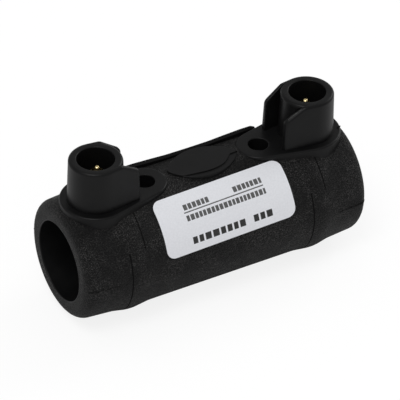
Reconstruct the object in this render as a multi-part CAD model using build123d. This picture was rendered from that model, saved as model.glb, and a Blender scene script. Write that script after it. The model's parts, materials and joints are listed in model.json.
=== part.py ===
from build123d import *
import math
import os

# Electrofusion coupler for 20 mm polyethylene pipe.
# The bore runs along X, the terminal towers stand up along +Z, the label faces -Y.
# The origin is the middle of the bore. Rises and drops are counted from the middle
# section's radius, insets from the end of the body.

# pipe sockets and the stop ring between them
pipe_r = 10.0
socket_clearance = 0.2
mouth_chamfer = 0.4
stop_ring_height = 1.0
stop_ring_width = 2.0

# body of revolution
length = 78.6
wall = 5.6
bead_rise = 0.6
shoulder_drop = 0.22
end_drop = 0.6
end_round = 2.8
bead_start_inset = 18.7
bead_peak_inset = 13.5
shoulder_inset = 9.3
bead_crest_r = 10.0

# pads under the towers
pad_rise = 0.15
pad_depth = 5.4
pad_r = 8.75
pad_reach = 13.24
pad_tip_r = 5.7
pad_draft = 2.0
pad_edge_break = 0.35

# terminal towers with their two wings
tower_inset = 9.96
tower_height = 11.55
tower_root = 2.5
tower_r = 6.6
tower_draft = 1.5
rim_break = 0.5
shroud_r = 4.6
shroud_depth = 12.3
wing_reach = 9.14
wing_half_width = 5.45
wing_thickness = 1.15
wing_slope_run = 5.0
wing_slope_drop = 3.2
wing_corner_r = 1.8

# terminal pins
pin_r = 2.0
pin_recess = 2.3
pin_inboard = 0.4
pin_nose_r = 0.8
pin_nose_height = 2.0
pin_cap_r = 0.4
pin_cap_height = 0.6
pin_flange_r = 2.8
pin_flange_above = 1.9
pin_flange_below = 0.7
pin_shank_r = 2.3

# weld indicator wells
well_reach = 13.44
well_r = 2.5
well_depth = 3.55

# name plaque on the crest, left bare: two bows between its tips, a step across the top
plaque_rise = 0.45
plaque_ledge_rise = 0.15
plaque_root = 2.2
plaque_tips = [(-9.5, 0.5), (9.8, -0.2)]
plaque_front = (-0.3, -5.2)
plaque_back = (0.4, 5.7)
plaque_tip_round = 0.9
plaque_step = [(7.7, -0.35), (4.6, -2.9), (0.2, -3.75), (-6.3, -2.9)]

# low rail behind the plaque
rail_inset = 20.1
rail_front_y = 6.95
rail_back_y = 9.7
rail_crown = 0.45
rail_back_drop = 3.2
rail_root = 6.0
rail_rise = 0.15
rail_dip = 0.55
rail_dip_half_width = 6.0
rail_dip_slope = 9.0
rail_end_slope = 1.2
rail_end_drop = 0.6

# heating winding, two sleeves of close turns joined by one lead
winding_length = 17.5
winding_gap = 2.74
winding_thickness = 0.9
lead_r = 0.4
lead_cover = 0.12
lead_rise = 1.28

# label
label_length = 35.9
label_arc_height = 15.0
label_thickness = 0.12
label_centre_angle = 39.6
label_skew = 1.4
label_corner_r = 2.3

half = length / 2
socket_r = pipe_r + socket_clearance
middle_r = socket_r + wall
tower_x = half - tower_inset
pin_x = tower_x - pin_inboard
pad_top_z = middle_r + pad_rise
rim_z = pad_top_z + tower_height
shroud_floor_z = rim_z - shroud_depth
tip_z = rim_z - pin_recess
winding_end_x = tower_x - winding_gap
winding_start_x = winding_end_x - winding_length
winding_back_r = socket_r + winding_thickness
lead_z = socket_r + lead_cover + lead_r
foot_z = lead_z + lead_rise
above = tower_height + pad_rise


def in_xz(points):
    """Points given as x and z, placed in the XZ plane."""
    return [(x, 0, z) for x, z in points]


def both_ends(solid):
    """The given half together with its mirror image on the other side."""
    return solid + mirror(solid, Plane.YZ)


def flipped(point):
    """The same point of a plan on the other side of the X axis."""
    return (point[0], -point[1])


def outer_line():
    """Outside of the right half, from the middle over the bead to the rounded end."""
    shoulder = (half - shoulder_inset, middle_r - shoulder_drop)
    end_start = (half - end_round, middle_r - end_drop)
    run = FilletPolyline(
        *in_xz(
            [
                (half - bead_start_inset, middle_r),
                (half - bead_peak_inset, middle_r + bead_rise),
                shoulder,
            ]
        ),
        radius=bead_crest_r,
    )
    middle = Polyline(*in_xz([(0, middle_r), (half - bead_start_inset, middle_r)]))
    collar = Polyline(*in_xz([shoulder, end_start]))
    slack = end_round * (1 - math.sqrt(0.5))
    end_middle = (half - slack, end_start[1] - slack)
    end = ThreePointArc(*in_xz([end_start, end_middle, (half, end_start[1] - end_round)]))
    return [middle, run, collar, end]


def shell():
    """Tube with bead, tapered collars, rounded ends, sockets and stop ring."""
    inside = [
        (half, middle_r - end_drop - end_round),
        (half, socket_r + mouth_chamfer),
        (half - mouth_chamfer, socket_r),
        (stop_ring_width / 2, socket_r),
        (stop_ring_width / 2, socket_r - stop_ring_height),
        (0, socket_r - stop_ring_height),
        (0, middle_r),
    ]
    face = make_face(outer_line() + [Polyline(*in_xz(inside))])
    return both_ends(revolve(face, Axis.X, 360))


def pad_outline():
    """Plan of the right pad: two circles joined by their common tangents."""
    lean = math.asin((pad_r - pad_tip_r) / pad_reach)
    s, c = math.sin(lean), math.cos(lean)
    tip_x = tower_x - pad_reach
    big = (tower_x - pad_r * s, pad_r * c)
    small = (tip_x - pad_tip_r * s, pad_tip_r * c)
    return make_face(
        [
            Line(big, small),
            ThreePointArc(small, (tip_x - pad_tip_r, 0), flipped(small)),
            Line(flipped(small), flipped(big)),
            ThreePointArc(flipped(big), (tower_x + pad_r, 0), big),
        ]
    )


def pad():
    """Right pad with its flat top, broken edge and drafted sides."""
    block = extrude(Pos(0, 0, pad_top_z) * pad_outline(), -pad_depth, taper=-pad_draft)
    return chamfer(block.edges().group_by(Axis.Z)[-1], pad_edge_break)


def pad_clearing():
    """Space above the right pad that the bead must not reach into."""
    return extrude(Pos(0, 0, pad_top_z) * pad_outline(), above)


def wing_plan(side):
    """Plan of one right wing at rim height, a straight strip that leaves the tower at a tangent."""
    far = math.hypot(wing_reach, wing_half_width)
    turn = math.atan2(wing_half_width, -wing_reach) - math.acos(tower_r / far)
    c, s = math.cos(turn), math.sin(turn)
    inner_r = tower_r - wing_thickness
    end_y = wing_half_width - wing_thickness / s
    points = [
        (tower_r * c, tower_r * s),
        (-wing_reach, wing_half_width),
        (-wing_reach, end_y),
        (inner_r * c, inner_r * s),
    ]
    return make_face(Polyline(*[(tower_x + x, side * y) for x, y in points], close=True))


def wing_profile():
    """Side view of the right wings, with the sloping upper corner, as a wide slab."""
    root_z = pad_top_z - tower_root
    end_x = tower_x - wing_reach
    slope = [(end_x + wing_slope_run, rim_z), (end_x, rim_z - wing_slope_drop)]
    lean = (tower_height + tower_root - wing_slope_drop) * math.tan(math.radians(tower_draft))
    points = [(tower_x, root_z), (tower_x, rim_z), *slope, (end_x - lean, root_z)]
    face = make_face(Polyline(*in_xz(points), close=True))
    corners = [v for v in face.vertices() for x, z in slope if abs(v.X - x) + abs(v.Z - z) < 1e-6]
    return extrude(fillet(corners, wing_corner_r), 2 * tower_r, both=True)


def wing(side):
    """One drafted wing of the right tower."""
    strip = extrude(Pos(0, 0, rim_z) * wing_plan(side), -(tower_height + tower_root), taper=-tower_draft)
    return strip & wing_profile()


def tower():
    """Right terminal tower with its two wings, solid."""
    height = tower_height + tower_root
    foot_r = tower_r + height * math.tan(math.radians(tower_draft))
    post = Pos(tower_x, 0, rim_z - height / 2) * Cone(foot_r, tower_r, height)
    post = chamfer(post.edges().group_by(Axis.Z)[-1], rim_break)
    return post + wing(1) + wing(-1)


def hole(x, radius, top_z, depth):
    """Round hole sunk straight down from top_z, open upward."""
    height = depth + above
    return Pos(x, 0, top_z - depth + height / 2) * Cylinder(radius, height)


def bow(bottom_z, top_z):
    """Slab with the plaque's plan, two arcs between softened tips."""
    left, right = plaque_tips
    plan = make_face([ThreePointArc(left, plaque_front, right), ThreePointArc(right, plaque_back, left)])
    return extrude(Pos(0, 0, bottom_z) * fillet(plan.vertices(), plaque_tip_round), top_z - bottom_z)


def plaque():
    """Plaque boss, its top stepping down to a ledge along the front."""
    ledge_z = middle_r + plaque_ledge_rise
    first, last = plaque_step[0], plaque_step[-1]
    front_y = 2 * plaque_front[1]
    outside = [first, (plaque_tips[1][0], first[1]), (plaque_tips[1][0], front_y), (last[0], front_y), last]
    step = make_face([Spline(plaque_step), Polyline(*outside)])
    top = bow(ledge_z, middle_r + plaque_rise) - extrude(Pos(0, 0, ledge_z) * step, plaque_rise)
    return bow(middle_r - plaque_root, ledge_z) + top


def rail():
    """Low rail along the back of the crest, slightly lower in the middle."""
    reach = half - rail_inset
    top_z = middle_r + rail_rise
    root_z = middle_r - rail_root
    section = [
        (rail_front_y, root_z),
        (rail_front_y, top_z),
        (rail_front_y + rail_crown, top_z),
        (rail_back_y, top_z - rail_back_drop),
        (rail_back_y, root_z),
    ]
    end_face = make_face(Polyline(*[(-reach, y, z) for y, z in section], close=True))
    bar = extrude(end_face, 2 * reach, dir=(1, 0, 0))
    right = [
        (rail_dip_half_width, top_z - rail_dip),
        (rail_dip_half_width + rail_dip_slope, top_z),
        (reach - rail_end_slope, top_z),
        (reach, top_z - rail_end_drop),
        (reach, root_z),
    ]
    side = right + [(-x, z) for x, z in reversed(right)]
    return bar & extrude(make_face(Polyline(*in_xz(side), close=True)), 2 * rail_back_y, both=True)


def sleeve(inner_r):
    """Ring that lines the right socket from inner_r out to the back of the winding."""
    ring = Cylinder(winding_back_r, winding_length) - Cylinder(inner_r, winding_length)
    return Pos(winding_start_x + winding_length / 2, 0, 0) * Rot(0, 90, 0) * ring


def wire_along_x(start, end):
    """Straight lead parallel to the bore."""
    return Pos((start + end) / 2, 0, lead_z) * Rot(0, 90, 0) * Cylinder(lead_r, end - start)


def winding():
    """Both sleeves of close-wound wire, with the leads to the pins and between them."""
    half_coil = sleeve(socket_r) + wire_along_x(winding_end_x - lead_r, pin_x + lead_r)
    half_coil += Pos(pin_x, 0, (lead_z + foot_z) / 2) * Cylinder(lead_r, foot_z - lead_z)
    return both_ends(half_coil) + wire_along_x(-winding_start_x - lead_r, winding_start_x + lead_r)


def terminal_pin():
    """Turned brass pin of the right tower, from its foot up to the tip."""
    flange_z = shroud_floor_z + pin_flange_above
    points = [
        (0, foot_z),
        (pin_shank_r, foot_z),
        (pin_shank_r, shroud_floor_z - pin_flange_below),
        (pin_flange_r, shroud_floor_z - pin_flange_below),
        (pin_flange_r, flange_z),
        (pin_r, flange_z),
        (pin_r, tip_z - pin_nose_height),
        (pin_nose_r, tip_z - pin_cap_height),
        (pin_cap_r, tip_z),
        (0, tip_z),
    ]
    return Pos(pin_x, 0, 0) * revolve(make_face(Polyline(*in_xz(points), close=True)), Axis.Z, 360)


def label():
    """Thin label wrapped on the middle section, laid on slightly askew."""
    ring = Cylinder(middle_r + label_thickness, length) - Cylinder(middle_r, length)
    spread = label_arc_height / middle_r / 2
    plan = fillet(Rectangle(label_length, 2 * middle_r * math.sin(spread)).vertices(), label_corner_r)
    prism = extrude(Rot(0, 0, label_skew) * plan, 2 * middle_r)
    return (Rot(0, 90, 0) * ring) & (Rot(90 - label_centre_angle, 0, 0) * prism)


def moulding():
    """The whole polyethylene moulding before the metal pieces are taken out of it."""
    solid = shell() - both_ends(pad_clearing())
    solid += both_ends(pad() + tower()) + plaque() + rail()
    shroud = hole(tower_x, shroud_r, rim_z, shroud_depth)
    well = hole(tower_x - well_reach, well_r, pad_top_z, well_depth)
    return solid - both_ends(shroud + well + sleeve(socket_r - stop_ring_height))


def save(shape, name):
    """Write one piece as its own STEP file."""
    shape.label = name
    export_step(shape, "parts/" + name + ".step")


os.makedirs("parts", exist_ok=True)
pin_right = terminal_pin()
pin_left = mirror(pin_right, Plane.YZ)
coil = winding()
save(moulding() - coil - pin_right - pin_left, "body")
save(pin_left, "terminal_pin_left")
save(pin_right, "terminal_pin_right")
save(coil, "heating_winding")
save(label(), "label_front")
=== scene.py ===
"""Studio scene of an electrofusion coupler for plastic pipe.

The coupler lies along X, its terminal towers stand up along +Z and its label faces -Y.
Lengths are written in millimetres and handed to Blender in metres.
"""
import json
import math
import random

import bmesh
import bpy
from mathutils import Matrix, Vector


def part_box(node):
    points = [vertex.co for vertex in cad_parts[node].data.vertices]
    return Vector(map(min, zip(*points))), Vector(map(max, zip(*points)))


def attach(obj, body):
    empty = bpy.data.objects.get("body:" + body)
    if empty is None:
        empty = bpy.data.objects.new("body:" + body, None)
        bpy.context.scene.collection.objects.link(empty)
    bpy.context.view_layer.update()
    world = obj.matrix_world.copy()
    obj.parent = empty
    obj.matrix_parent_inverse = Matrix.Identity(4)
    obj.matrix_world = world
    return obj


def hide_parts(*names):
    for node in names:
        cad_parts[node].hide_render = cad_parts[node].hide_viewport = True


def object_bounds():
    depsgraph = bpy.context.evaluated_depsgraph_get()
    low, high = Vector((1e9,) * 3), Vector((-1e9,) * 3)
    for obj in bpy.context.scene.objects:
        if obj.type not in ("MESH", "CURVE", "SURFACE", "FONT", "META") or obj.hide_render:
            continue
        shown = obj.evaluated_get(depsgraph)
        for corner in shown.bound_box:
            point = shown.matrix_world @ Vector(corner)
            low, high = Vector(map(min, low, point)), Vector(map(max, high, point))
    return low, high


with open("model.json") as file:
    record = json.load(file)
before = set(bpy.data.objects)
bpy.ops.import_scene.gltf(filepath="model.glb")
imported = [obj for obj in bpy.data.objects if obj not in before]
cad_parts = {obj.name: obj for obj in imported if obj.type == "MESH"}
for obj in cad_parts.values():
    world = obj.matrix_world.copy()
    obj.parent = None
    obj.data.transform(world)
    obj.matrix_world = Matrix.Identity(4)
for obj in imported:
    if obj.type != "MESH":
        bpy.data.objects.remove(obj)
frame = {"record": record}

MM = 0.001

cad_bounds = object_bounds()
mounts = {mount["name"]: mount for mount in frame["record"]["mounts"]}


def radius_of(name):
    """Radius of a round mount."""
    return mounts[name]["dims"]["r_mm"]


def side_of(node, axis, high):
    """Lowest or highest place of a CAD node along one axis."""
    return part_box(node)[1 if high else 0][axis] / MM


# taken from the frame
HALF = cad_bounds[1][0] / MM
RIM_Z = cad_bounds[1][2] / MM
SOCKET_R = radius_of("socket_right")
STOP_R = radius_of("flow_bore")
STOP_HALF_WIDTH = mounts["flow_bore"]["dims"]["length_mm"] / 2
PIN_R = radius_of("terminal_right")
PIN_X = mounts["terminal_right"]["pos_m"][0] / MM
PIN_TIP_Z = side_of("terminal_pin_right", 2, True)
PIN_FOOT_Z = side_of("terminal_pin_right", 2, False)
PIN_FLANGE_R = PIN_X - side_of("terminal_pin_right", 0, False)
WINDING_R = -side_of("heating_winding", 2, False)

# outside of the moulding
MIDDLE_R = 15.8
SHOULDER_R = MIDDLE_R - 0.22
END_R = MIDDLE_R - 0.6
END_FACE_R = END_R - 0.3
END_ROUND = 2.8
MOUTH_ROUND = 0.28
STOP_ROUND = 0.1
BEAD_START_X = HALF - 18.7
BEAD_START_ROUND = 14
BEAD_PEAK_X = HALF - 13.5
BEAD_PEAK_R = MIDDLE_R + 0.6
BEAD_PEAK_ROUND = 10
SHOULDER_X = HALF - 9.3
SHOULDER_ROUND = 5
STEPS_ROUND = 192

# heating winding
WINDING_END_X = 26.6
WINDING_START_X = 9.1
WINDING_TURNS = 12
WINDING_RIDGE = 0.16
LEAD_R = 0.4
LEAD_Z = SOCKET_R + 0.12 + LEAD_R

# pads, towers and wells
TOWER_X = HALF - 9.96
PAD_TOP_Z = MIDDLE_R + 0.15
PAD_ROOT_Z = 12.0
PAD_R = 8.75
PAD_TIP_R = 5.7
PAD_REACH = 13.24
PAD_ROUND = 0.5
TOWER_R = 6.6
TOWER_ROUND = 0.75
TOWER_ROOT_Z = PAD_TOP_Z - 2.5
DRAFT = math.tan(math.radians(1.5))
SHROUD_R = 4.6
SHROUD_FLOOR_Z = RIM_Z - 12.3
SHROUD_ROUND = 0.3
WING_REACH = 9.14
WING_HALF_WIDTH = 5.45
WING_THICKNESS = 1.15
WING_SLOPE_RUN = 5.0
WING_SLOPE_DROP = 3.2
WING_CORNER_R = 1.8
WING_OUTER_ROUND = 0.7
WING_INNER_ROUND = 0.28
WELL_X = TOWER_X - 13.44
WELL_R = 2.5
WELL_DEPTH = 3.55
WELL_ROUND = 0.25
CUT_OVERSHOOT = 3

# turned pins
PIN_NOSE_HEIGHT = 2.0
PIN_DOME_R = 0.8
PIN_SHANK_R = 2.3
PIN_NECK_Z = SHROUD_FLOOR_Z - 0.7
PIN_FLANGE_Z = SHROUD_FLOOR_Z + 1.9
PIN_FLANGE_BEVEL = 0.15

# plaque and rail
PLAQUE_TOP_Z = MIDDLE_R + 0.45
PLAQUE_LEDGE_Z = MIDDLE_R + 0.15
PLAQUE_ROOT_Z = MIDDLE_R - 2.2
PLAQUE_LEFT = (-9.5, 0.5)
PLAQUE_RIGHT = (9.8, -0.2)
PLAQUE_FRONT = (-0.3, -5.2)
PLAQUE_BACK = (0.4, 5.7)
PLAQUE_STEP = [(7.7, -0.35), (4.6, -2.9), (0.2, -3.75), (-6.3, -2.9)]
PLAQUE_ROUND = 0.12
RAIL_REACH = HALF - 20.1
RAIL_TOP_Z = MIDDLE_R + 0.15
RAIL_FRONT_Y = 6.95
RAIL_BACK_Y = 9.7
RAIL_CROWN = 0.6
RAIL_ROOT_Z = 10
RAIL_BACK_DROP = 3.2
RAIL_FRONT_DROP = 0.7
RAIL_END_RUN = 1.2

# what moulding leaves behind: flash, sprue nib and burr
FLASH_STATIONS = (31, 32, 33, 34, 35, 36)
FLASH_TAPER_RUN = 6.5
FLASH_HALF_WIDTH = 0.09
NIB_X = 36.5
NIB_Y = -3.5
NIB_SINK = 0.35
NIB_SECTIONS = ((0, 0.45, 0), (0.35, 0.36, 0.15), (0.7, 0.3, 0.5), (0.85, 0.12, 0.7))
BURR_SECTIONS = 15
BURR_SINK = 0.6

# lines where the mould's inserts meet
SEAM_SLOPE = math.tan(math.radians(29))
SEAM_RIGHT_UPPER = 26.95
SEAM_RIGHT_LOWER = 23.0
SEAM_LEFT_UPPER = 23.25
SEAM_LEFT_LOWER = 27.6

# label, with its angle up from the front
LABEL_ANGLE = 39.6
LABEL_SKEW = math.radians(1.4)
LABEL_LENGTH = 35.9
LABEL_HEIGHT = 15.0
LABEL_THICK = 0.12
LABEL_CORNER_R = 2.3

# print, each kind with the height and the stroke of its blocks
PRINT_LIFT = 0.012
SMALL_PRINT = (1.4, 0.36)
BOLD_PRINT = (1.75, 0.62)

# camera
VIEW_AZIMUTH = -30.70
VIEW_ELEVATION = 37.67
VIEW_ROLL = 1.67
VIEW_DISTANCE = 819.9
VIEW_AIM_RIGHT = -0.194
VIEW_AIM_UP = 3.483
VIEW_LENS = 300.2

# studio
ROOM_LIGHT = 0.45
FLOOR_GLOW = 1.08
FLOOR_GLOW_SHARE = 0.78

# finishes of the moulding, by their place in its list of materials
# the third finish is a painted highlight: pale colour for light caught on the burr
TEXTURED, SMOOTH, PAINTED_HIGHLIGHT = 0, 1, 2
finishes = []


# ---------------------------------------------------------------- outlines and meshes


def arc(centre, radius, start, end, steps):
    """Points on an arc, angles in degrees."""
    angles = (math.radians(start + (end - start) * i / steps) for i in range(steps + 1))
    return [(centre[0] + radius * math.cos(a), centre[1] + radius * math.sin(a)) for a in angles]


def through(a, b, c, steps):
    """Points on the arc from a over b to c."""
    (ax, ay), (bx, by), (cx, cy) = a, b, c
    d = 2 * (ax * (by - cy) + bx * (cy - ay) + cx * (ay - by))
    sa, sb, sc = ax * ax + ay * ay, bx * bx + by * by, cx * cx + cy * cy
    ux = (sa * (by - cy) + sb * (cy - ay) + sc * (ay - by)) / d
    uy = (sa * (cx - bx) + sb * (ax - cx) + sc * (bx - ax)) / d
    start, over, end = (math.degrees(math.atan2(y - uy, x - ux)) for x, y in (a, b, c))
    if (over - start) % 360 < (end - start) % 360:
        end = start + (end - start) % 360
    else:
        end = start - (start - end) % 360
    return arc((ux, uy), math.hypot(ax - ux, ay - uy), start, end, steps)


def rounded(corners, steps=6):
    """Closed outline from (x, y, radius) corners, each corner softened by its radius."""
    outline = []
    count = len(corners)
    for i, (x, y, radius) in enumerate(corners):
        here = Vector((x, y))
        if radius == 0:
            outline.append((x, y))
            continue
        before = (Vector(corners[i - 1][:2]) - here).normalized()
        after = (Vector(corners[(i + 1) % count][:2]) - here).normalized()
        half_turn = before.angle(after) / 2
        reach = radius / math.tan(half_turn)
        centre = here + (before + after).normalized() * (radius / math.sin(half_turn))
        first = here + before * reach - centre
        last = here + after * reach - centre
        sweep = first.angle_signed(last)
        for k in range(steps + 1):
            turned_by = Matrix.Rotation(-sweep * k / steps, 2) @ first
            outline.append(tuple(centre + turned_by))
    return outline


def inset(outline, amount):
    """Outline moved inward by an amount, corner by corner; the outline turns left."""
    moved = []
    count = len(outline)
    for i in range(count):
        a, b, c = (Vector(outline[(i + k) % count]) for k in (-1, 0, 1))
        u, v = (b - a).normalized(), (c - b).normalized()
        nu, nv = Vector((-u.y, u.x)), Vector((-v.y, v.x))
        n = (nu + nv).normalized()
        moved.append(tuple(b + n * (amount / max(0.5, n.dot(nu)))))
    return moved


def as_object(name, mesh, finish=SMOOTH):
    """Mesh object in the scene, with the finishes of the moulding."""
    thing = bpy.data.objects.new(name, mesh)
    bpy.context.scene.collection.objects.link(thing)
    for material in moulding_finishes():
        mesh.materials.append(material)
    for polygon in mesh.polygons:
        polygon.material_index = finish
    return thing


def lofted(name, loops, finish=SMOOTH):
    """Closed skin through loops of equal count, capped at both ends."""
    mesh = bpy.data.meshes.new(name)
    count = len(loops[0])
    points = [tuple(value * MM for value in point) for loop in loops for point in loop]
    faces = [list(range(count))[::-1], [(len(loops) - 1) * count + i for i in range(count)]]
    for k in range(len(loops) - 1):
        for i in range(count):
            j = (i + 1) % count
            faces.append([k * count + i, k * count + j, (k + 1) * count + j, (k + 1) * count + i])
    mesh.from_pydata(points, [], faces)
    outward(mesh)
    return as_object(name, mesh, finish)


def turned(name, outline, axis, at=(0, 0), steps=96, finish=SMOOTH):
    """Closed outline of (along, radius) points turned about X, or about Z at a place."""
    mesh = bpy.data.meshes.new(name)
    shaped = bmesh.new()
    rings = []
    for along, radius in outline:
        count = 1 if radius < 1e-9 else steps
        ring = []
        for i in range(count):
            a = 2 * math.pi * i / steps
            c, s = radius * math.cos(a), radius * math.sin(a)
            place = (along, c, s) if axis == "X" else (at[0] + c, at[1] + s, along)
            ring.append(shaped.verts.new(Vector(place) * MM))
        rings.append(ring * (steps // count))
    for k, ring in enumerate(rings):
        after = rings[(k + 1) % len(rings)]
        for i in range(steps):
            j = (i + 1) % steps
            corners = []
            for vert in (ring[i], ring[j], after[j], after[i]):
                if vert not in corners:
                    corners.append(vert)
            if len(corners) > 2:
                shaped.faces.new(corners)
    shaped.to_mesh(mesh)
    shaped.free()
    outward(mesh)
    return as_object(name, mesh, finish)


def outward(mesh):
    """Turn all faces to look outward."""
    shaped = bmesh.new()
    shaped.from_mesh(mesh)
    bmesh.ops.recalc_face_normals(shaped, faces=shaped.faces[:])
    shaped.to_mesh(mesh)
    shaped.free()


def mirrored(thing):
    """Copy of a piece on the other side of the middle."""
    mesh = thing.data.copy()
    mesh.transform(Matrix.Scale(-1, 4, (1, 0, 0)))
    mesh.flip_normals()
    other = bpy.data.objects.new(thing.name + "_left", mesh)
    bpy.context.scene.collection.objects.link(other)
    return other


def combine(base, pieces, operation):
    """Add the pieces to the base, or cut them out of it, and remove them."""
    tools = bpy.data.collections.new("tools")
    bpy.context.scene.collection.children.link(tools)
    for piece in pieces:
        bpy.context.scene.collection.objects.unlink(piece)
        tools.objects.link(piece)
    step = base.modifiers.new("combine", "BOOLEAN")
    step.operation = operation
    step.operand_type = "COLLECTION"
    step.collection = tools
    step.solver = "EXACT"
    settle(base)
    for piece in pieces:
        bpy.data.objects.remove(piece)
    bpy.data.collections.remove(tools)


def cleaned(thing):
    """Weld the slivers that adding and cutting leave along the joins."""
    shaped = bmesh.new()
    shaped.from_mesh(thing.data)
    bmesh.ops.remove_doubles(shaped, verts=shaped.verts[:], dist=0.0005 * MM)
    bmesh.ops.dissolve_degenerate(shaped, edges=shaped.edges[:], dist=0.0005 * MM)
    shaped.to_mesh(thing.data)
    shaped.free()


def settle(thing):
    """Apply every modifier of a piece to its mesh."""
    bpy.context.view_layer.update()
    ready = thing.evaluated_get(bpy.context.evaluated_depsgraph_get())
    mesh = bpy.data.meshes.new_from_object(ready)
    thing.modifiers.clear()
    old = thing.data
    thing.data = mesh
    mesh.name = thing.name
    bpy.data.meshes.remove(old)


def soften(thing, sharp_above=28):
    """Smooth shading with sharp creases, broad flats kept flat."""
    thing.data.shade_smooth()
    thing.data.set_sharp_from_angle(angle=math.radians(sharp_above))
    weighted = thing.modifiers.new("flats", "WEIGHTED_NORMAL")
    weighted.keep_sharp = True
    weighted.weight = 60
    settle(thing)


def place(piece, slot, *nodes):
    """Let a piece stand for its CAD nodes and ride on the coupler."""
    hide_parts(*nodes)
    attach(piece, "root")


def dressed(piece, material):
    """Give a piece one material."""
    piece.data.materials.clear()
    piece.data.materials.append(material)
    for polygon in piece.data.polygons:
        polygon.material_index = 0
    return piece


# ---------------------------------------------------------------- the moulding


def sleeve():
    """Body of revolution with bead, rounded ends, sockets, winding grooves and stop ring."""
    right = [
        (BEAD_START_X, MIDDLE_R, BEAD_START_ROUND),
        (BEAD_PEAK_X, BEAD_PEAK_R, BEAD_PEAK_ROUND),
        (SHOULDER_X, SHOULDER_R, SHOULDER_ROUND),
        (HALF, END_FACE_R, END_ROUND),
        (HALF, SOCKET_R, MOUTH_ROUND),
        (WINDING_END_X, SOCKET_R, 0),
        (WINDING_END_X, WINDING_R, 0),
        (WINDING_START_X, WINDING_R, 0),
        (WINDING_START_X, SOCKET_R, 0),
        (STOP_HALF_WIDTH, SOCKET_R, 0),
        (STOP_HALF_WIDTH, STOP_R, STOP_ROUND),
    ]
    left = [(-x, r, soft) for x, r, soft in reversed(right)]
    body = turned("moulding", rounded(right + left, 8), "X", steps=STEPS_ROUND, finish=TEXTURED)
    for polygon in body.data.polygons:
        if math.hypot(polygon.center.y, polygon.center.z) < (SOCKET_R + MOUTH_ROUND) * MM:
            polygon.material_index = SMOOTH
    return body


def pad_loop(shrink, z):
    """Plan of the right pad at one height, two arcs joined by straight sides."""
    big, small = PAD_R - shrink, PAD_TIP_R - shrink
    lean = math.degrees(math.asin((big - small) / PAD_REACH))
    outline = arc((TOWER_X, 0), big, -90 - lean, 90 + lean, 72)
    outline += arc((TOWER_X - PAD_REACH, 0), small, 90 + lean, 270 - lean, 48)
    return [(x, y, z) for x, y in outline]


def pad():
    """Right pad with a rounded upper edge and drafted side."""
    loops = [pad_loop(-(PAD_TOP_Z - PAD_ROOT_Z) * DRAFT, PAD_ROOT_Z)]
    for x, y in arc((0, 0), PAD_ROUND, 0, 90, 6):
        loops.append(pad_loop(PAD_ROUND - x, PAD_TOP_Z - PAD_ROUND + y))
    return lofted("pad", loops)


def pad_clearing():
    """Space above the right pad that the bead must not reach into."""
    return lofted("pad_clearing", [pad_loop(0, PAD_TOP_Z), pad_loop(0, RIM_Z)])


def tower():
    """Post of the right tower with a well rounded rim."""
    corners = [
        (TOWER_ROOT_Z, 0, 0),
        (TOWER_ROOT_Z, TOWER_R + (RIM_Z - TOWER_ROOT_Z) * DRAFT, 0),
        (RIM_Z, TOWER_R, TOWER_ROUND),
        (RIM_Z, 0, 0),
    ]
    return turned("tower", rounded(corners, 8), "Z", at=(TOWER_X, 0), steps=128)


def wing_lay():
    """Direction square to a wing's outer face, which leaves the post at a tangent."""
    far = math.hypot(WING_REACH, WING_HALF_WIDTH)
    turn = math.atan2(WING_HALF_WIDTH, -WING_REACH) - math.acos(TOWER_R / far)
    return math.cos(turn), math.sin(turn)


def wing(side):
    """One wing of the right tower, a drafted plate with softened edges all round."""
    nx, ny = wing_lay()
    end_x = TOWER_X - WING_REACH
    low = TOWER_ROOT_Z
    lean = (RIM_Z - WING_SLOPE_DROP - low) * DRAFT
    start_x = TOWER_X + TOWER_R * nx
    profile = rounded(
        [
            (start_x, low, 0),
            (start_x, RIM_Z, 0),
            (end_x + WING_SLOPE_RUN, RIM_Z, WING_CORNER_R),
            (end_x, RIM_Z - WING_SLOPE_DROP, WING_CORNER_R),
            (end_x - lean, low, 0),
        ],
        8,
    )

    def face(depth, shrink):
        """Profile on the plane that lies a depth behind the wing's outer face."""
        loop = []
        for x, z in inset(profile, shrink):
            if x > start_x - shrink - 0.01:
                x = start_x
            flare = (RIM_Z - z) * DRAFT * (1 if depth < WING_THICKNESS / 2 else -1)
            out = TOWER_R + flare - depth
            y = (out - (x - TOWER_X) * nx) / ny
            loop.append((x, side * y, z))
        return loop

    outer, inner = WING_OUTER_ROUND, WING_INNER_ROUND
    loops = [face(outer - y, outer - x) for x, y in arc((0, 0), outer, 90, 0, 7)]
    rim = arc((0, 0), inner, 0, 90, 4)
    loops += [face(WING_THICKNESS - inner + y, inner - x) for x, y in rim]
    return lofted("wing", loops)


def cutter(x, radius, top_z, floor_z, lip):
    """Round cutting tool with a flared lip, for a hole with a softened edge."""
    flare = [(top_z - lip + z, radius + lip - r) for r, z in arc((0, 0), lip, 0, 90, 4)]
    outline = [(floor_z, 0), (floor_z, radius)] + flare
    outline += [(top_z + CUT_OVERSHOOT, radius + lip), (top_z + CUT_OVERSHOOT, 0)]
    return turned("cutter", outline, "Z", at=(x, 0), steps=96)


def plate(name, outline, root_z, top_z, edge):
    """Flat plate of a given plan with a softened upper edge."""
    loops = [[(x, y, root_z) for x, y in outline]]
    for x, y in arc((0, 0), edge, 0, 90, 3):
        loops.append([(px, py, top_z - edge + y) for px, py in inset(outline, edge - x)])
    return lofted(name, loops)


def curve_through(points, steps):
    """Smooth line through a few points."""
    ends = [points[0]] + points + [points[-1]]
    line = []
    for a, b, c, d in zip(ends, ends[1:], ends[2:], ends[3:]):
        a, b, c, d = (Vector(p) for p in (a, b, c, d))
        for k in range(steps):
            t = k / steps
            bend = (2 * a - 5 * b + 4 * c - d) * t * t
            twist = (3 * b - a - 3 * c + d) * t**3
            line.append(tuple(0.5 * (2 * b + (c - a) * t + bend + twist)))
    return line + [tuple(points[-1])]


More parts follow.
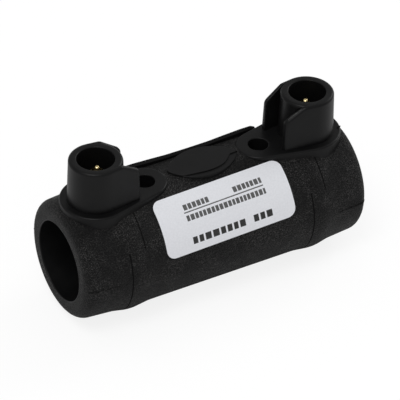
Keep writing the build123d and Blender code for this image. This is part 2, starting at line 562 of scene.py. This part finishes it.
def plaque():
    """Bare plaque on the crest, with the lower ledge along its front."""
    front = through(PLAQUE_LEFT, PLAQUE_FRONT, PLAQUE_RIGHT, 40)
    back = through(PLAQUE_RIGHT, PLAQUE_BACK, PLAQUE_LEFT, 40)
    ledge = plate("plaque_ledge", front[1:-1] + back[1:-1], PLAQUE_ROOT_Z, PLAQUE_LEDGE_Z, PLAQUE_ROUND)
    step = curve_through(PLAQUE_STEP, 8)[::-1]
    upper = [point for point in front[1:] if point[0] < PLAQUE_STEP[-1][0] - 0.3]
    top = plate("plaque_top", upper + step + back[:-1], PLAQUE_ROOT_Z, PLAQUE_TOP_Z, PLAQUE_ROUND)
    return [ledge, top]


def rail():
    """Low rail along the back of the crest, slightly lower in the middle."""
    right = [
        (0, -0.55),
        (6, -0.5),
        (10, -0.25),
        (15, 0),
        (RAIL_REACH - RAIL_END_RUN, 0),
        (RAIL_REACH, -0.6),
    ]
    left = [(-x, drop) for x, drop in right[:0:-1]]
    loops = []
    for x, drop in left + right:
        top = RAIL_TOP_Z + drop
        corners = [
            (RAIL_FRONT_Y, RAIL_ROOT_Z, 0),
            (RAIL_BACK_Y, RAIL_ROOT_Z, 0),
            (RAIL_BACK_Y, top - RAIL_BACK_DROP, 0.4),
            (RAIL_FRONT_Y + RAIL_CROWN, top, 0.15),
            (RAIL_FRONT_Y, top - RAIL_FRONT_DROP, 0.3),
        ]
        loops.append([(x, y, z) for y, z in rounded(corners, 3)])
    return lofted("rail", loops)


def flash_height(x):
    """Uneven height of the moulding flash along the body."""
    return 0.10 + 0.05 * math.sin(x * 1.9) + 0.03 * math.sin(x * 5.3 + 1)


def flash(side):
    """Thin fin of flash on the parting line of the right collar."""
    outer = []
    for x in FLASH_STATIONS:
        outer.append((x, END_R + (HALF - END_ROUND - x) * (SHOULDER_R - END_R) / FLASH_TAPER_RUN))
    outer += arc((HALF - END_ROUND, END_R - END_ROUND), END_ROUND, 88, 35, 8)
    edge = [(x + 0.02, r + flash_height(x)) for x, r in outer]
    foot = [(x - 0.4, r - 0.5) for x, r in outer]
    outline = edge + foot[::-1]
    loops = [[(x, side * r, z) for x, r in outline] for z in (-FLASH_HALF_WIDTH, FLASH_HALF_WIDTH)]
    return lofted("flash", loops, TEXTURED)


def nib():
    """Small torn sprue left on the rim of the right pad."""
    loops = []
    for lift, radius, shift in NIB_SECTIONS:
        ring = arc((0, 0), radius, 0, 330, 11)
        z = PAD_TOP_Z - NIB_SINK + lift
        loops.append([(NIB_X + x + shift, NIB_Y + y, z) for x, y in ring])
    return lofted("nib", loops)


def burr():
    """Thin uneven burr along the sloping edge of the right front wing, pale with a painted highlight."""
    end_x = TOWER_X - WING_REACH
    rng = random.Random(7)
    nx, ny = wing_lay()
    loops = []
    for k in range(BURR_SECTIONS):
        t = 0.12 + 0.76 * k / (BURR_SECTIONS - 1)
        x = end_x + WING_SLOPE_RUN * t
        z = RIM_Z - WING_SLOPE_DROP * (1 - t) - 0.08
        y = -(TOWER_R - BURR_SINK - (x - TOWER_X) * nx) / ny
        tall = (0.18 + 0.16 * rng.random()) * math.sin(math.pi * (k + 0.6) / 15.2)
        foot = [(x, y - 0.2, z - 0.1), (x, y + 0.2, z - 0.1)]
        crest = [(x, y + 0.04, z + tall), (x, y - 0.06, z + tall)]
        loops.append(foot + crest)
    # its pale finish is a painted highlight along the wing's edge
    return lofted("burr", loops, PAINTED_HIGHLIGHT)


def moulding():
    """The one-piece polyethylene moulding."""
    body = sleeve()
    clearing = pad_clearing()
    combine(body, [clearing, mirrored(clearing)], "DIFFERENCE")
    right = [pad(), tower(), wing(1), wing(-1), flash(1), flash(-1)]
    added = right + [mirrored(piece) for piece in right] + plaque() + [rail(), nib(), burr()]
    combine(body, added, "UNION")
    right = [
        cutter(TOWER_X, SHROUD_R, RIM_Z, SHROUD_FLOOR_Z, SHROUD_ROUND),
        cutter(WELL_X, WELL_R, PAD_TOP_Z, PAD_TOP_Z - WELL_DEPTH, WELL_ROUND),
    ]
    seats = [pin(1, "seat_right"), pin(-1, "seat_left")] + leads()
    combine(body, right + [mirrored(piece) for piece in right] + seats, "DIFFERENCE")
    cleaned(body)
    soften(body)
    place(body, "polyethylene", "body")


# ---------------------------------------------------------------- pins and winding


def pin(side, name):
    """One turned pin, from its foot up to the domed tip."""
    outline = [(PIN_FOOT_Z, 0), (PIN_FOOT_Z, PIN_SHANK_R)]
    outline += [(PIN_NECK_Z, PIN_SHANK_R), (PIN_NECK_Z, PIN_FLANGE_R)]
    outline += [(PIN_FLANGE_Z - PIN_FLANGE_BEVEL, PIN_FLANGE_R)]
    outline += [(PIN_FLANGE_Z, PIN_FLANGE_R - PIN_FLANGE_BEVEL)]
    outline += [(PIN_FLANGE_Z, PIN_R), (PIN_TIP_Z - PIN_NOSE_HEIGHT, PIN_R)]
    dome = arc((PIN_TIP_Z - PIN_DOME_R, 0), PIN_DOME_R, 80, 0, 8)
    outline += [(z, max(r, 0)) for z, r in dome[:-1]] + [(PIN_TIP_Z, 0)]
    return turned(name, outline, "Z", at=(side * PIN_X, 0), steps=64)


def leads():
    """Straight leads from the winding to the pins, and the one between its sleeves."""
    r, z = LEAD_R, LEAD_Z
    link_end = WINDING_START_X + r
    outline = [(-link_end, 0), (-link_end, r), (link_end, r), (link_end, 0)]
    link = turned("link", outline, "X", steps=24)
    start, end = WINDING_END_X - r, PIN_X + r
    lead = turned("lead", [(start, 0), (start, r), (end, r), (end, 0)], "X", steps=24)
    for wire in (link, lead):
        wire.data.transform(Matrix.Translation((0, 0, z * MM)))
    outline = [(z, 0), (z, r), (PIN_FOOT_Z, r), (PIN_FOOT_Z, 0)]
    rise = turned("rise", outline, "Z", at=(PIN_X, 0), steps=24)
    return [link, lead, mirrored(lead), rise, mirrored(rise)]


def pins():
    """Both turned brass pins."""
    for side, name in ((1, "terminal_pin_right"), (-1, "terminal_pin_left")):
        piece = dressed(pin(side, name + "_turned"), brass())
        soften(piece, 35)
        place(piece, "pin_brass", name)


def winding():
    """Both sleeves of close-wound coated wire and their leads."""
    pitch = (WINDING_END_X - WINDING_START_X) / WINDING_TURNS
    outline = [(WINDING_START_X, WINDING_R)]
    for turn in range(WINDING_TURNS):
        start = WINDING_START_X + turn * pitch
        for k in range(6):
            t = k / 6
            groove = WINDING_RIDGE * abs(math.cos(math.pi * t))
            outline.append((start + t * pitch, SOCKET_R + groove))
    outline += [(WINDING_END_X, SOCKET_R + WINDING_RIDGE), (WINDING_END_X, WINDING_R)]
    coil = turned("winding_wound", outline, "X", steps=128)
    combine(coil, [mirrored(coil)] + leads(), "UNION")
    cleaned(coil)
    dressed(coil, wire_coat())
    soften(coil, 60)
    place(coil, "winding", "heating_winding")


# ---------------------------------------------------------------- label


def on_label(along, up, lift):
    """Point of the label from its flat layout, wrapped on the body."""
    c, s = math.cos(LABEL_SKEW), math.sin(LABEL_SKEW)
    x = along * c - up * s
    angle = math.radians(LABEL_ANGLE) + (along * s + up * c) / MIDDLE_R
    r = MIDDLE_R + lift
    return (x, -r * math.cos(angle), r * math.sin(angle))


def label():
    """White label with its print: rules and rows of plain bars in place of words."""
    half_x, half_y = LABEL_LENGTH / 2, LABEL_HEIGHT / 2
    columns = 2
    rows = 24
    mesh = bpy.data.meshes.new("label_sheet")
    shaped = bmesh.new()

    def reach(y):
        """Half length of the label at a height, less its rounded corners."""
        over = max(0.0, abs(y) - (half_y - LABEL_CORNER_R))
        return half_x - LABEL_CORNER_R + math.sqrt(max(0.0, LABEL_CORNER_R**2 - over**2))

    heights = [half_y - LABEL_CORNER_R * (1 - math.sin(math.radians(a))) for a in range(90, -1, -10)]
    middle = [heights[-1] * (1 - 2 * k / rows) for k in range(1, rows)]
    heights += middle + [-y for y in reversed(heights)]
    grid = []
    for lift in (0.0, LABEL_THICK):
        lines = []
        for y in heights:
            wide = reach(y)
            line = []
            for k in range(columns + 1):
                point = on_label(wide * (2 * k / columns - 1), y, lift)
                line.append(shaped.verts.new(Vector(point) * MM))
            lines.append(line)
        grid.append(lines)
    low, high = grid
    for k in range(len(heights) - 1):
        for i in range(columns):
            shaped.faces.new((high[k][i], high[k][i + 1], high[k + 1][i + 1], high[k + 1][i]))
            shaped.faces.new((low[k][i], low[k + 1][i], low[k + 1][i + 1], low[k][i + 1]))
        for i in (0, columns):
            shaped.faces.new((high[k][i], high[k + 1][i], low[k + 1][i], low[k][i]))
    for k in (0, len(heights) - 1):
        for i in range(columns):
            shaped.faces.new((high[k][i], high[k][i + 1], low[k][i + 1], low[k][i]))
    shaped.to_mesh(mesh)
    shaped.free()
    outward(mesh)
    sheet = as_object("label_sheet", mesh)
    dressed(sheet, label_paper())
    soften(sheet, 40)
    place(sheet, "label", "label_front")
    printed()


def bar(shaped, x0, x1, y0, y1):
    """One printed bar, a thin strip that follows the label."""
    low, high = LABEL_THICK, LABEL_THICK + PRINT_LIFT
    rows = max(1, round((y1 - y0) / 0.6))
    front = []
    for lift in (low, high):
        lines = []
        for k in range(rows + 1):
            y = y0 + (y1 - y0) * k / rows
            lines.append([shaped.verts.new(Vector(on_label(x, y, lift)) * MM) for x in (x0, x1)])
        front.append(lines)
    bottom, top = front
    for k in range(rows):
        shaped.faces.new((top[k][0], top[k][1], top[k + 1][1], top[k + 1][0]))
        shaped.faces.new((bottom[k][0], bottom[k + 1][0], bottom[k + 1][1], bottom[k][1]))
        for i in (0, 1):
            shaped.faces.new((top[k][i], top[k + 1][i], bottom[k + 1][i], bottom[k][i]))
    for k in (0, rows):
        shaped.faces.new((top[k][0], top[k][1], bottom[k][1], bottom[k][0]))


def word(shaped, x0, x1, base, height, stroke, rng):
    """Row of plain blocks that reads as a printed word from a step away."""
    x = x0
    while x < x1 - stroke:
        wide = min(stroke * rng.uniform(1.9, 2.9), x1 - x)
        bar(shaped, x, x + wide, base, base + height)
        x += wide + stroke * 0.8


def printed():
    """All print of the label, two greys."""
    rng = random.Random(20)
    grey, dark = bmesh.new(), bmesh.new()
    word(grey, -10.6, -3.6, 2.95, *SMALL_PRINT, rng)
    word(grey, 3.4, 11.3, 3.05, *SMALL_PRINT, rng)
    bar(grey, -10.9, 11.3, 2.24, 2.52)
    word(grey, -10.7, 11.4, 0.22, *SMALL_PRINT, rng)
    word(dark, -10.6, 4.0, -5.55, *BOLD_PRINT, rng)
    word(dark, 6.4, 12.7, -5.5, *BOLD_PRINT, rng)
    kinds = ((grey, "label_small_print", ink_grey()), (dark, "label_bold_print", ink_dark()))
    for shaped, name, material in kinds:
        mesh = bpy.data.meshes.new(name)
        shaped.to_mesh(mesh)
        shaped.free()
        outward(mesh)
        piece = dressed(as_object(name, mesh), material)
        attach(piece, "root")


# ---------------------------------------------------------------- materials


class Sheet:
    """Short hand for building one node tree."""

    def __init__(self, tree):
        self.tree = tree

    def add(self, kind, **values):
        """New node with the given properties."""
        node = self.tree.nodes.new(kind)
        for name, value in values.items():
            setattr(node, name, value)
        return node

    def put(self, node, **values):
        """Set inputs by name; underscores stand for spaces."""
        for name, value in values.items():
            node.inputs[name.replace("_", " ")].default_value = value

    def link(self, source, target):
        """Join two sockets."""
        self.tree.links.new(source, target)

    def maths(self, operation, a, b=None, clamp=False):
        """Math node on two values or sockets; returns its output."""
        node = self.add("ShaderNodeMath", operation=operation, use_clamp=clamp)
        for socket, value in zip(node.inputs, (a, b)):
            if value is None:
                continue
            if isinstance(value, (int, float)):
                socket.default_value = value
            else:
                self.link(value, socket)
        return node.outputs[0]

    def ramp(self, value, low, high, start=0.0, end=1.0):
        """Colour ramp between two colours."""
        node = self.add("ShaderNodeValToRGB")
        node.color_ramp.elements[0].position = start
        node.color_ramp.elements[0].color = (*low, 1)
        node.color_ramp.elements[1].position = end
        node.color_ramp.elements[1].color = (*high, 1)
        self.link(value, node.inputs["Fac"])
        return node.outputs["Color"]

    def mixed(self, factor, first, second):
        """Colour mix of a linked colour and a plain one, by a mask."""
        node = self.add("ShaderNodeMix", data_type="RGBA")
        colours = [socket for socket in node.inputs if socket.type == "RGBA"]
        self.link(factor, node.inputs[0])
        self.link(first, colours[0])
        colours[1].default_value = (*second, 1)
        return next(socket for socket in node.outputs if socket.type == "RGBA")

    def span(self, value, to_low, to_high, from_low=0.0, from_high=1.0):
        """Map range node; returns its output."""
        node = self.add("ShaderNodeMapRange")
        self.put(node, From_Min=from_low, From_Max=from_high, To_Min=to_low, To_Max=to_high)
        self.link(value, node.inputs["Value"])
        return node.outputs["Result"]


def group(name, inputs, outputs):
    """Empty node group with named float or vector sockets."""
    if name in bpy.data.node_groups:
        return bpy.data.node_groups[name], None, None, None
    tree = bpy.data.node_groups.new(name, "ShaderNodeTree")
    for title, kind, value in inputs:
        socket = tree.interface.new_socket(name=title, in_out="INPUT", socket_type=kind)
        if value is not None:
            socket.default_value = value
    for title, kind in outputs:
        tree.interface.new_socket(name=title, in_out="OUTPUT", socket_type=kind)
    sheet = Sheet(tree)
    return tree, sheet, sheet.add("NodeGroupInput"), sheet.add("NodeGroupOutput")


def grain_and_sparkle_group():
    """Spark-eroded grain: height of the surface, and painted sparkle where its facets would catch the
    light.
    """
    tree, s, given, made = group(
        "eroded_grain_and_painted_sparkle",
        [("Vector", "NodeSocketVector", None), ("Grains per metre", "NodeSocketFloat", 3000.0)],
        [("Height", "NodeSocketFloat"), ("Painted sparkle", "NodeSocketFloat"), ("Patches", "NodeSocketFloat")],
    )
    if s is None:
        return tree
    coarse = s.add("ShaderNodeTexNoise")
    s.put(coarse, Detail=4.0, Roughness=0.62)
    s.link(given.outputs["Vector"], coarse.inputs["Vector"])
    s.link(given.outputs["Grains per metre"], coarse.inputs["Scale"])
    cells = s.add("ShaderNodeTexVoronoi")
    s.link(given.outputs["Vector"], cells.inputs["Vector"])
    s.link(s.maths("MULTIPLY", given.outputs["Grains per metre"], 0.8), cells.inputs["Scale"])
    patches = s.add("ShaderNodeTexNoise")
    s.put(patches, Scale=170.0, Detail=2.0)
    s.link(given.outputs["Vector"], patches.inputs["Vector"])
    pits = s.maths("MULTIPLY", cells.outputs["Distance"], 0.7)
    s.link(s.maths("SUBTRACT", coarse.outputs["Fac"], pits), made.inputs["Height"])
    # painted sparkle: lighter spots that stand in for glints off the grain's facets
    bright = s.span(coarse.outputs["Fac"], 0.0, 1.0, 0.50, 0.68)
    spread = s.span(patches.outputs["Fac"], 0.4, 1.0, 0.42, 0.58)
    s.link(s.maths("MULTIPLY", bright, spread), made.inputs["Painted sparkle"])
    s.link(patches.outputs["Fac"], made.inputs["Patches"])
    return tree


def seam_group():
    """Fine lines where the mould's inserts meet, on the beads of both ends."""
    tree, s, given, made = group(
        "mould_seam",
        [
            ("Vector", "NodeSocketVector", None),
            ("Line width", "NodeSocketFloat", 0.00015),
        ],
        [("Line", "NodeSocketFloat")],
    )
    if s is None:
        return tree
    split = s.add("ShaderNodeSeparateXYZ")
    s.link(given.outputs["Vector"], split.inputs[0])
    x, y, z = split.outputs
    high = s.maths("GREATER_THAN", z, s.maths("MULTIPLY", s.maths("ABSOLUTE", y), SEAM_SLOPE))
    lines = []
    ends = ((1, SEAM_RIGHT_UPPER, SEAM_RIGHT_LOWER), (-1, SEAM_LEFT_UPPER, SEAM_LEFT_LOWER))
    for side, upper, lower in ends:
        shift = s.maths("MULTIPLY", high, (upper - lower) * side * MM)
        at = s.maths("ADD", shift, lower * side * MM)
        away = s.maths("ABSOLUTE", s.maths("SUBTRACT", x, at))
        lines.append(s.maths("LESS_THAN", away, given.outputs["Line width"]))
    s.link(s.maths("MAXIMUM", *lines), made.inputs["Line"])
    return tree


def surface(name):
    """New material with its shader; gives the material, sheet, shader and object place."""
    material = bpy.data.materials.new(name)
    material.use_nodes = True
    material.node_tree.nodes.clear()
    s = Sheet(material.node_tree)
    output = s.add("ShaderNodeOutputMaterial")
    shader = s.add("ShaderNodeBsdfPrincipled")
    s.link(shader.outputs[0], output.inputs[0])
    place_node = s.add("ShaderNodeTexCoord")
    return material, s, shader, place_node.outputs["Object"]


def bump(s, height, shader, distance, strength=1.0):
    """Bump from a height, in millimetres."""
    node = s.add("ShaderNodeBump")
    s.put(node, Strength=strength, Distance=distance * MM)
    s.link(height, node.inputs["Height"])
    s.link(node.outputs[0], shader.inputs["Normal"])


def polyethylene_textured():
    """Black polyethylene with the mould's eroded grain, and the glints of its facets as painted sparkle
    in the colour.
    """
    material, s, shader, where = surface("polyethylene_grained")
    grain = s.add("ShaderNodeGroup", node_tree=grain_and_sparkle_group())
    grain.inputs["Grains per metre"].default_value = 3900
    s.link(where, grain.inputs["Vector"])
    seam = s.add("ShaderNodeGroup", node_tree=seam_group())
    s.link(where, seam.inputs["Vector"])
    # painted sparkle: the grain's glinting facets drawn as lighter base colour
    tone = s.ramp(grain.outputs["Painted sparkle"], (0.0035, 0.0035, 0.0037), (0.085, 0.083, 0.081), 0.0, 1.0)
    s.link(s.mixed(seam.outputs["Line"], tone, (0.0, 0.0, 0.0)), shader.inputs["Base Color"])
    dull = s.span(grain.outputs["Patches"], 0.48, 0.58)
    rough = s.maths("ADD", dull, s.maths("MULTIPLY", seam.outputs["Line"], 0.4))
    s.link(rough, shader.inputs["Roughness"])
    shader.inputs["Specular IOR Level"].default_value = 0.15
    height = s.maths("SUBTRACT", grain.outputs["Height"], s.maths("MULTIPLY", seam.outputs["Line"], 2.5))
    bump(s, height, shader, 0.34)
    return material


def polyethylene_smooth():
    """Black polyethylene from a polished part of the mould."""
    material, s, shader, where = surface("polyethylene_polished")
    grain = s.add("ShaderNodeGroup", node_tree=grain_and_sparkle_group())
    grain.inputs["Grains per metre"].default_value = 1500
    s.link(where, grain.inputs["Vector"])
    tone = s.ramp(grain.outputs["Patches"], (0.0040, 0.0040, 0.0042), (0.0065, 0.0065, 0.0067), 0.3, 0.7)
    s.link(tone, shader.inputs["Base Color"])
    s.link(s.span(grain.outputs["Patches"], 0.34, 0.44), shader.inputs["Roughness"])
    shader.inputs["Specular IOR Level"].default_value = 0.17
    bump(s, grain.outputs["Height"], shader, 0.006)
    return material


def polyethylene_painted_highlight():
    """Black polyethylene painted pale, a painted highlight standing in for light caught on the burr."""
    material, s, shader, where = surface("polyethylene_painted_highlight")
    grain = s.add("ShaderNodeGroup", node_tree=grain_and_sparkle_group())
    grain.inputs["Grains per metre"].default_value = 2500
    s.link(where, grain.inputs["Vector"])
    # painted highlight: pale colour in place of light caught on the burr
    tone = s.ramp(grain.outputs["Painted sparkle"], (0.030, 0.030, 0.030), (0.210, 0.205, 0.200), 0.0, 1.0)
    s.link(tone, shader.inputs["Base Color"])
    s.link(s.span(grain.outputs["Patches"], 0.6, 0.75), shader.inputs["Roughness"])
    bump(s, grain.outputs["Height"], shader, 0.05)
    return material


def moulding_finishes():
    """The finishes of the moulding, made once."""
    if not finishes:
        finishes.extend([polyethylene_textured(), polyethylene_smooth(), polyethylene_painted_highlight()])
    return finishes


def brass():
    """Turned brass with fine rings of tool marks."""
    material, s, shader, where = surface("brass_turned")
    rings = s.add("ShaderNodeTexNoise")
    s.put(rings, Scale=900.0, Detail=2.0)
    stretch = s.add("ShaderNodeMapping")
    stretch.inputs["Scale"].default_value = (0.05, 0.05, 6)
    s.link(where, stretch.inputs["Vector"])
    s.link(stretch.outputs[0], rings.inputs["Vector"])
    tone = s.ramp(rings.outputs["Fac"], (0.66, 0.50, 0.22), (0.88, 0.74, 0.42), 0.3, 0.7)
    s.link(tone, shader.inputs["Base Color"])
    shader.inputs["Metallic"].default_value = 1.0
    s.link(s.span(rings.outputs["Fac"], 0.18, 0.34), shader.inputs["Roughness"])
    bump(s, rings.outputs["Fac"], shader, 0.004)
    return material


def wire_coat():
    """Glossy black coat of the heating wire."""
    material, s, shader, where = surface("wire_coat")
    grain = s.add("ShaderNodeGroup", node_tree=grain_and_sparkle_group())
    grain.inputs["Grains per metre"].default_value = 1200
    s.link(where, grain.inputs["Vector"])
    tone = s.ramp(grain.outputs["Patches"], (0.007, 0.007, 0.008), (0.012, 0.012, 0.013))
    s.link(tone, shader.inputs["Base Color"])
    s.link(s.span(grain.outputs["Patches"], 0.3, 0.42), shader.inputs["Roughness"])
    bump(s, grain.outputs["Height"], shader, 0.01)
    return material


def label_paper():
    """White coated paper."""
    material, s, shader, where = surface("label_paper")
    fibre = s.add("ShaderNodeTexNoise")
    s.put(fibre, Scale=2400.0, Detail=3.0)
    s.link(where, fibre.inputs["Vector"])
    tone = s.ramp(fibre.outputs["Fac"], (0.82, 0.83, 0.87), (0.88, 0.89, 0.93), 0.3, 0.7)
    s.link(tone, shader.inputs["Base Color"])
    s.link(s.span(fibre.outputs["Fac"], 0.42, 0.55), shader.inputs["Roughness"])
    bump(s, fibre.outputs["Fac"], shader, 0.004)
    return material


def ink(name, light, dark):
    """Thermal print, slightly uneven."""
    material, s, shader, where = surface(name)
    mottle = s.add("ShaderNodeTexNoise")
    s.put(mottle, Scale=5200.0, Detail=2.0)
    s.link(where, mottle.inputs["Vector"])
    s.link(s.ramp(mottle.outputs["Fac"], dark, light, 0.35, 0.75), shader.inputs["Base Color"])
    s.link(s.span(mottle.outputs["Fac"], 0.5, 0.65), shader.inputs["Roughness"])
    return material


def ink_grey():
    """Thin grey print."""
    return ink("ink_grey", (0.15, 0.15, 0.15), (0.07, 0.07, 0.07))


def ink_dark():
    """Bold dark print."""
    return ink("ink_dark", (0.035, 0.033, 0.032), (0.012, 0.012, 0.012))


# ---------------------------------------------------------------- studio


def camera():
    """Long lens from the front left, above."""
    a, e, r = (math.radians(v) for v in (VIEW_AZIMUTH, VIEW_ELEVATION, VIEW_ROLL))
    back = Vector((math.sin(a) * math.cos(e), -math.cos(a) * math.cos(e), math.sin(e)))
    level = Vector((math.cos(a), math.sin(a), 0))
    rise = back.cross(level)
    right = level * math.cos(r) + rise * math.sin(r)
    up = rise * math.cos(r) - level * math.sin(r)
    data = bpy.data.cameras.new("view")
    data.lens = VIEW_LENS
    data.sensor_width = 36
    data.clip_start = 0.05
    holder = bpy.data.objects.new("view", data)
    at = (back * VIEW_DISTANCE + level * VIEW_AIM_RIGHT + rise * VIEW_AIM_UP) * MM
    turn = Matrix((right, up, back)).transposed()
    holder.matrix_world = Matrix.Translation(at) @ turn.to_4x4()
    bpy.context.scene.collection.objects.link(holder)
    bpy.context.scene.camera = holder


def lamp(name, at, size, power):
    """A square soft box that points at the coupler."""
    data = bpy.data.lights.new(name, "AREA")
    data.shape = "SQUARE"
    data.size = size
    data.energy = power
    holder = bpy.data.objects.new(name, data)
    turn = (-Vector(at)).to_track_quat("-Z", "Y")
    holder.matrix_world = Matrix.Translation(at) @ turn.to_matrix().to_4x4()
    bpy.context.scene.collection.objects.link(holder)


def surroundings():
    """White room for the camera, a plainer level for the rest."""
    world = bpy.data.worlds.new("room")
    world.use_nodes = True
    s = Sheet(world.node_tree)
    back = world.node_tree.nodes["Background"]
    back.inputs["Color"].default_value = (1, 1, 1, 1)
    rays = s.add("ShaderNodeLightPath")
    s.link(s.span(rays.outputs["Is Camera Ray"], ROOM_LIGHT, 1.0), back.inputs["Strength"])
    bpy.context.scene.world = world


def floor():
    """Pale floor under the coupler, with a soft shadow."""
    bpy.ops.mesh.primitive_plane_add(size=6, location=(0, 0, cad_bounds[0][2]))
    sheet = bpy.context.object
    sheet.name = "floor"
    material, s, shader, _ = surface("pale_floor")
    shader.inputs["Base Color"].default_value = (0.9, 0.9, 0.9, 1)
    shader.inputs["Roughness"].default_value = 0.9
    glow = s.add("ShaderNodeEmission")
    glow.inputs["Strength"].default_value = FLOOR_GLOW
    both = s.add("ShaderNodeMixShader")
    rays = s.add("ShaderNodeLightPath")
    s.link(s.span(rays.outputs["Is Camera Ray"], 0.0, FLOOR_GLOW_SHARE), both.inputs["Fac"])
    s.link(shader.outputs[0], both.inputs[1])
    s.link(glow.outputs[0], both.inputs[2])
    output = next(node for node in s.tree.nodes if node.type == "OUTPUT_MATERIAL")
    s.link(both.outputs[0], output.inputs[0])
    sheet.data.materials.append(material)


def corners(bounds):
    """A box as plain lists of numbers."""
    return [[float(value) for value in corner] for corner in bounds]


bpy.context.scene.view_settings.view_transform = "Standard"
camera()
surroundings()
floor()
moulding()
pins()
winding()
label()
lamp("key", (-0.5, -0.4, 1.2), 0.6, 6.5)
lamp("side", (1.2, 0.3, 0.7), 0.6, 4)
